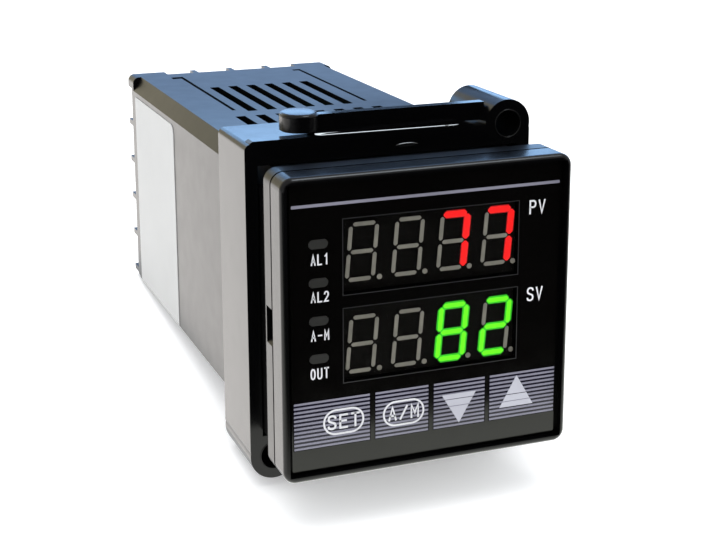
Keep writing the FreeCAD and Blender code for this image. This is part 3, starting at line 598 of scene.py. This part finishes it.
def make_head(top):
    """Mesh of one pan head round the Y axis, with a tapered cross recess in its top."""
    bm = bmesh.new()
    stack(bm, [ring(oval(0.0, 0.0, radius, radius, HEAD_SIDES), top - drop)
               for radius, drop in HEAD_PROFILE])
    head = loose_object(bm, "screw_head")

    bm = bmesh.new()
    stack(bm, [ring(rectangle(-reach, reach, -CROSS_HALF, CROSS_HALF), top - drop)
               for drop, reach in CROSS_CUTS])
    stack(bm, [ring(rectangle(-CROSS_HALF, CROSS_HALF, -reach, reach), top - drop)
               for drop, reach in CROSS_CUTS])
    cutter = loose_object(bm, "screw_cross")

    recess = head.modifiers.new("recess", "BOOLEAN")
    recess.operation = "DIFFERENCE"
    recess.solver = "EXACT"
    recess.use_self = True
    recess.object = cutter
    bpy.context.view_layer.update()
    done = bpy.data.meshes.new_from_object(head.evaluated_get(bpy.context.evaluated_depsgraph_get()))
    for item in (head, cutter):
        spent = item.data
        bpy.data.objects.remove(item)
        bpy.data.meshes.remove(spent)
    return done


def make_terminal_screws():
    """Cross-recessed pan heads over square clamp plates, in place of the plain screws."""
    (_, base, _), (_, top, _) = box_mm("terminal_screws")
    head = make_head(top)
    at_sides = [(side * TERMINAL_OUT, row * TERMINAL_PITCH, PLATE_SHORT, PLATE_LONG)
                for side in (-1, 1) for row in (-2, -1, 0, 1, 2)]
    at_top = [(x, TERMINAL_OUT, PLATE_LONG, PLATE_SHORT) for x in TOP_TERMINALS]
    bm = bmesh.new()
    for number, (x, z, half_x, half_z) in enumerate(at_sides + at_top):
        turn = Matrix.Rotation(math.radians(SCREW_TURN * number), 4, "Y")
        copy = head.copy()
        copy.transform(Matrix.Translation((x, 0.0, z)) @ turn)
        bm.from_mesh(copy)
        bpy.data.meshes.remove(copy)
        stack(bm, [ring(rounded(x - half_x + inset, x + half_x - inset, z - half_z + inset,
                                z + half_z - inset, PLATE_CORNER, PLATE_STEPS), base + rise)
                   for inset, rise in PLATE_PROFILE])
    bpy.data.meshes.remove(head)
    piece = finish_piece("cross_screws", bm, "screw", "case")
    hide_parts("terminal_screws")


# ---------------------------------------------------------------- bracket
# The bracket is the same after half a turn round the Y axis, so its pieces come in pairs.
HALVES = (("upper", 1), ("lower", -1))
CORNER_LOW, CORNER_HIGH = box_mm("bracket_corner_upper")
BRACKET_FRONT = CORNER_LOW[1]
BRACKET_BACK = CORNER_HIGH[1]
BOSS_RADIUS = 4.0
BOSS = (CORNER_HIGH[0] - BOSS_RADIUS, CORNER_HIGH[2] - BOSS_RADIUS)

# Size of the painted shade lining in each bore.
SHADE_LINING_RADII = (2.19, 2.12)
SHADE_LINING_INSET = 0.1
SHADE_LINING_SIDES = 40
RIM_RADIUS = 2.30
RIM_THICK = 0.09
RIM_FORWARD = 0.02          # how far the middle of the rim is in front of the bracket
RIM_STEPS = 8               # round the rim itself
RIM_SIDES = 48              # and round the bore

# Middle and half sizes of the marks on the bracket's front, then the inset and height of their profile.
MARKS = ((2.6, 23.9, 1.9, 0.35), (9.6, 26.3, 0.4, 0.3))
MARK_PROFILE = ((0.0, -0.02), (0.03, 0.08), (0.1, 0.14), (0.2, 0.17))
MARK_SIDES = 24

# The rib on a lip: x and relative size of its sections, y and distance below its edge round a section,
# the y towards which the sections shrink, and the z of its edge at both ends.
RIB_SECTIONS = ((-13.0, 0.5), (-12.6, 0.85), (-12.0, 1.0), (0.5, 1.0), (11.0, 1.0), (11.6, 0.85),
                (11.9, 0.5))
RIB_PROFILE = ((8.3, 0.45), (7.64, 0.45), (7.60, 0.38), (7.62, 0.31), (7.92, 0.01), (7.98, 0.0), (8.3, 0.0))
RIB_MIDDLE = 7.93
RIB_EDGE = (26.87, 26.75)

PAD_X = (-17.3, -11.3)
PAD_Y = (8.3, 15.3)
PAD_CORNER = 3.0
PAD_STEPS = 9
CROWN_BASE = 29.2
CROWN_HIGH = 0.58
CROWN_INSET = 0.62          # how much smaller the top of the crown is, on each side
CROWN_OVERLAP = 0.01        # how far its foot stands out over the pad
CROWN_STEPS = 6


def make_bore_painted_shade():
    """Dull dark linings in the two screw bosses: painted shade for the deep bores."""
    near, far = BRACKET_FRONT + SHADE_LINING_INSET, BRACKET_BACK - SHADE_LINING_INSET
    outer, inner = [oval(*BOSS, radius, radius, SHADE_LINING_SIDES) for radius in SHADE_LINING_RADII]
    for half, sign in HALVES:
        bm = bmesh.new()
        band(bm, inner, outer, near, far, sign)
        finish_piece(half + "_bore_painted_shade", bm, "shade_lining", "bracket")


def make_moulding_marks():
    """Two small domed marks on each half of the bracket's front."""
    for half, sign in HALVES:
        bm = bmesh.new()
        for cx, cz, half_x, half_z in MARKS:
            stack(bm, [ring(oval(cx, cz, half_x - inset, half_z - inset, MARK_SIDES),
                            BRACKET_FRONT - rise, sign) for inset, rise in MARK_PROFILE])
        finish_piece(half + "_marks", bm, "polished", "bracket", smooth=True)


def make_lip_ribs():
    """Bevelled rib along the front of each lip."""
    start, end = RIB_SECTIONS[0][0], RIB_SECTIONS[-1][0]
    slope = (RIB_EDGE[1] - RIB_EDGE[0]) / (end - start)
    for half, sign in HALVES:
        bm = bmesh.new()
        rings = []
        for x, size in RIB_SECTIONS:
            edge = RIB_EDGE[0] + slope * (x - start)
            rings.append([(sign * x, RIB_MIDDLE - (RIB_MIDDLE - y) * size, sign * (edge - drop * size))
                          for y, drop in RIB_PROFILE])
        stack(bm, rings)
        finish_piece(half + "_edges", bm, "polished", "bracket")


def make_bore_rims():
    """Slim rounded rim round the front of each bore."""
    for half, sign in HALVES:
        bm = bmesh.new()
        rings = []
        for step in range(RIM_STEPS):
            turn = math.tau * step / RIM_STEPS
            radius = RIM_RADIUS + RIM_THICK * math.cos(turn)
            y = BRACKET_FRONT - RIM_FORWARD + RIM_THICK * math.sin(turn)
            rings.append(ring(oval(*BOSS, radius, radius, RIM_SIDES), y, sign))
        tube(bm, rings)
        finish_piece(half + "_bore_rim", bm, "bracket", "bracket", smooth=True)


def make_thumb_crowns():
    """Domed crowns over the thumb pads of the two spring arms."""
    for half, sign in HALVES:
        bm = bmesh.new()
        rings = []
        for step in range(CROWN_STEPS + 1):
            turn = math.radians(90.0 * step / CROWN_STEPS)
            inset = CROWN_INSET * (1 - math.cos(turn)) - CROWN_OVERLAP
            z = CROWN_BASE + CROWN_HIGH * math.sin(turn)
            plan = rounded(PAD_X[0] + inset, PAD_X[1] - inset, PAD_Y[0] + inset, PAD_Y[1] - inset,
                           PAD_CORNER - inset - SLACK, PAD_STEPS)
            rings.append([(sign * x, y, sign * z) for x, y in plan])
        stack(bm, rings)
        finish_piece(half + "_thumb_crown", bm, "bracket", "bracket", smooth=True)


make_bore_painted_shade()
make_moulding_marks()
make_lip_ribs()
make_bore_rims()
make_face_print()
make_key_print()
make_digits()
make_window_lines()
make_terminal_screws()
make_thumb_crowns()


# ---------------------------------------------------------------- camera
CAMERA_PLACE = (-86.89, -202.86, 73.68)
CAMERA_AZIMUTH = math.radians(-20.50)
CAMERA_ELEVATION = math.radians(13.19)
CAMERA_ROLL = math.radians(-0.31)
CAMERA_LENS = 73.17
CAMERA_SHIFT = (0.01934, -0.14295)
CAMERA_SENSOR = 36.0
CAMERA_REACH = (0.01, 20.0)                 # in metres


def add_camera():
    flat = math.cos(CAMERA_ELEVATION)
    back = Vector((math.sin(CAMERA_AZIMUTH) * flat, -math.cos(CAMERA_AZIMUTH) * flat,
                   math.sin(CAMERA_ELEVATION)))
    right = Vector((math.cos(CAMERA_AZIMUTH), math.sin(CAMERA_AZIMUTH), 0.0))
    up = back.cross(right)
    turned_right = right * math.cos(CAMERA_ROLL) + up * math.sin(CAMERA_ROLL)
    turned_up = up * math.cos(CAMERA_ROLL) - right * math.sin(CAMERA_ROLL)
    data = bpy.data.cameras.new("camera")
    data.sensor_width = CAMERA_SENSOR
    data.lens = CAMERA_LENS
    data.shift_x, data.shift_y = CAMERA_SHIFT
    data.clip_start, data.clip_end = CAMERA_REACH
    camera = bpy.data.objects.new("camera", data)
    matrix = Matrix((turned_right, turned_up, back)).transposed().to_4x4()
    matrix.translation = to_m(*CAMERA_PLACE)
    camera.matrix_world = matrix
    bpy.context.scene.collection.objects.link(camera)
    bpy.context.scene.camera = camera


add_camera()


# ---------------------------------------------------------------- world and floor
PLAIN = ((1.0, 1.0, 1.0), 1.0)              # colour and strength of the backdrop where it is seen
FILL = ((0.95, 0.97, 1.0), 0.95)            # and of the light that it gives
FLOOR_GREY = 0.92
FLOOR_ROUGH = 0.8
FLOOR_SPECULAR = 0.1
FLOOR_LIFT = 0.33                           # brings the floor up to the backdrop where it is seen
FLOOR_REACH = 4000.0
BOSS_LOW, BOSS_HIGH = box_mm("bracket_corner_lower")
REAR_LOW, REAR_HIGH = box_mm("terminal_block")
FLOOR_SLOPE = (REAR_LOW[2] - BOSS_LOW[2]) / (REAR_HIGH[1] - BOSS_HIGH[1])
RAMP_ENDS = (-150.0, REAR_HIGH[1] + 8.0)    # y between which the floor slopes


def plain_view(tree):
    """One for rays that look straight at the backdrop or see it mirrored or through a pane."""
    path = tree.nodes.new("ShaderNodeLightPath")
    total = path.outputs["Is Camera Ray"]
    for name in ("Is Glossy Ray", "Is Transmission Ray"):
        add = tree.nodes.new("ShaderNodeMath")
        add.operation = "ADD"
        add.use_clamp = True
        tree.links.new(total, add.inputs[0])
        tree.links.new(path.outputs[name], add.inputs[1])
        total = add.outputs[0]
    return total


def add_world():
    world = bpy.data.worlds.new("studio")
    bpy.context.scene.world = world
    world.use_nodes = True
    tree = world.node_tree
    tree.nodes.clear()
    output = tree.nodes.new("ShaderNodeOutputWorld")
    mix = tree.nodes.new("ShaderNodeMixShader")
    tree.links.new(plain_view(tree), mix.inputs["Fac"])
    for socket, (colour, strength) in ((1, FILL), (2, PLAIN)):
        glow = tree.nodes.new("ShaderNodeBackground")
        glow.inputs["Color"].default_value = (*colour, 1.0)
        glow.inputs["Strength"].default_value = strength
        tree.links.new(glow.outputs[0], mix.inputs[socket])
    tree.links.new(mix.outputs[0], output.inputs["Surface"])


def floor_height(y):
    """The floor touches the rear of the lower boss and of the terminals, and is level further off."""
    y = min(max(y, RAMP_ENDS[0]), RAMP_ENDS[1])
    return BOSS_LOW[2] + (y - BOSS_HIGH[1]) * FLOOR_SLOPE


def along_floor(left, right, near, far, lift=0.0):
    """Corners of a strip that follows the floor from y near to y far."""
    stops = [near] + [y for y in RAMP_ENDS if near < y < far] + [far]
    return [(x, y, floor_height(y) + lift) for first, last in zip(stops, stops[1:])
            for x, y in ((left, first), (right, first), (right, last), (left, last))]


def sheet(name, corners):
    """A stage piece of four-cornered faces; each group of four corners is one face."""
    mesh = bpy.data.meshes.new(name)
    mesh.from_pydata([to_m(*corner) for corner in corners], [],
                     [tuple(range(first, first + 4)) for first in range(0, len(corners), 4)])
    made = bpy.data.objects.new(name, mesh)
    bpy.context.scene.collection.objects.link(made)
    return made


def add_floor():
    floor = sheet("floor", along_floor(-FLOOR_REACH, FLOOR_REACH, -FLOOR_REACH, FLOOR_REACH))
    material, tree, shader = new_material("floor")
    shader.inputs["Base Color"].default_value = (FLOOR_GREY, FLOOR_GREY, FLOOR_GREY, 1.0)
    shader.inputs["Roughness"].default_value = FLOOR_ROUGH
    shader.inputs["Specular IOR Level"].default_value = FLOOR_SPECULAR
    shader.inputs["Emission Color"].default_value = (1.0, 1.0, 1.0, 1.0)
    lift = tree.nodes.new("ShaderNodeMath")
    lift.operation = "MULTIPLY"
    lift.inputs[1].default_value = FLOOR_LIFT
    tree.links.new(plain_view(tree), lift.inputs[0])
    tree.links.new(lift.outputs[0], shader.inputs["Emission Strength"])
    floor.data.materials.append(material)


# ---------------------------------------------------------------- lamps and reflection cards
LAMP_TARGET = (0.0, 30.0, 0.0)
CARD_LIFT = 0.3                             # how far a card lies above the floor
DARK = ((0.0, 0.0, 0.0), 0.0)               # colour and strength
BACK_WALL = ((-1500.0, 500.0), (-60.0, 900.0), (1500.0, 500.0))
BACK_WALL_Z = (-100.0, 900.0)
FRONT_X = (-200.0, 400.0)
FRONT_STOPS = (-1500.0, -52.0, -28.0, 6.0)  # y of the edges of the cards on the floor in front


def add_lamp(name, place, wide, power):
    """A soft square lamp that isn't seen in reflections."""
    data = bpy.data.lights.new(name, "AREA")
    data.shape = "RECTANGLE"
    data.size = wide * MM
    data.size_y = wide * MM
    data.energy = power
    lamp = bpy.data.objects.new(name, data)
    place, target = to_m(*place), to_m(*LAMP_TARGET)
    facing = (target - place).to_track_quat("-Z", "Y").to_matrix().to_4x4()
    lamp.matrix_world = Matrix.Translation(place) @ facing
    lamp.visible_glossy = False
    bpy.context.scene.collection.objects.link(lamp)


def add_card(name, corners, colour, strength):
    """A card that is seen only in reflections."""
    card = sheet(name, corners)
    material = bpy.data.materials.new(name)
    material.use_nodes = True
    tree = material.node_tree
    tree.nodes.clear()
    output = tree.nodes.new("ShaderNodeOutputMaterial")
    glow = tree.nodes.new("ShaderNodeEmission")
    glow.inputs["Color"].default_value = (*colour, 1.0)
    glow.inputs["Strength"].default_value = strength
    tree.links.new(glow.outputs[0], output.inputs["Surface"])
    card.data.materials.append(material)
    card.visible_camera = False
    card.visible_diffuse = False
    card.visible_transmission = False
    card.visible_shadow = False
    card.visible_volume_scatter = False


def low_card(name, x_ends, y_ends, colour, strength):
    """A card that lies just above the floor."""
    add_card(name, along_floor(*x_ends, *y_ends, CARD_LIFT), colour, strength)


def upright_card(name, start, end, z_ends, colour, strength):
    """A card that stands on the line between two (x, y) points."""
    low, high = z_ends
    add_card(name, [(*start, low), (*end, low), (*end, high), (*start, high)], colour, strength)


add_world()
add_floor()
add_lamp("overhead", (-50.0, 0.0, 900.0), wide=900.0, power=6.0)
add_lamp("front_fill", (-250.0, -700.0, 350.0), wide=500.0, power=0.6)

# Behind on the left: a bright wall and the floor before it, seen in the left faces.
low_card("left_floor_card", (-900.0, -26.0), (-12.0, 900.0), (1.0, 0.97, 0.94), 2.55)
upright_card("left_wall_card", *BACK_WALL[:2], BACK_WALL_Z, (1.0, 0.92, 0.68), 1.15)
# Behind on the right: a pale blue wall, seen in the top faces.
upright_card("right_wall_card", *BACK_WALL[1:], BACK_WALL_Z, (0.40, 0.62, 1.0), 1.5)
# A brighter strip that only the top of the bracket meets, and a dark patch that its spring arm meets.
upright_card("bracket_card", (-40.0, 108.0), (150.0, 108.0), (44.5, 62.0), (0.36, 0.62, 1.0), 4.2)
upright_card("arm_dark_card", (25.0, 107.5), (58.0, 107.5), (43.5, 68.0), *DARK)
# In front: dark, apart from two bright strips of floor, one before the bezel and one under it.
low_card("front_near_card", FRONT_X, FRONT_STOPS[1:3], (0.97, 1.0, 0.9), 1.75)
low_card("under_front_card", FRONT_X, FRONT_STOPS[2:4], (0.98, 1.0, 0.94), 2.7)
low_card("front_dark_card", (-400.0, 1500.0), FRONT_STOPS[0:2], *DARK)
upright_card("front_wall_card", (-1200.0, FRONT_STOPS[0]), (1500.0, FRONT_STOPS[0]), (-400.0, 900.0), *DARK)
# Above and in front: a small bright panel, mirrored in rounded front edges.
add_card("edge_card", [(100.0, -290.0, 640.0), (380.0, -290.0, 640.0), (380.0, -20.0, 700.0),
                       (100.0, -20.0, 700.0)], (0.85, 0.93, 1.0), 13.0)

bpy.context.scene.view_settings.view_transform = "Standard"
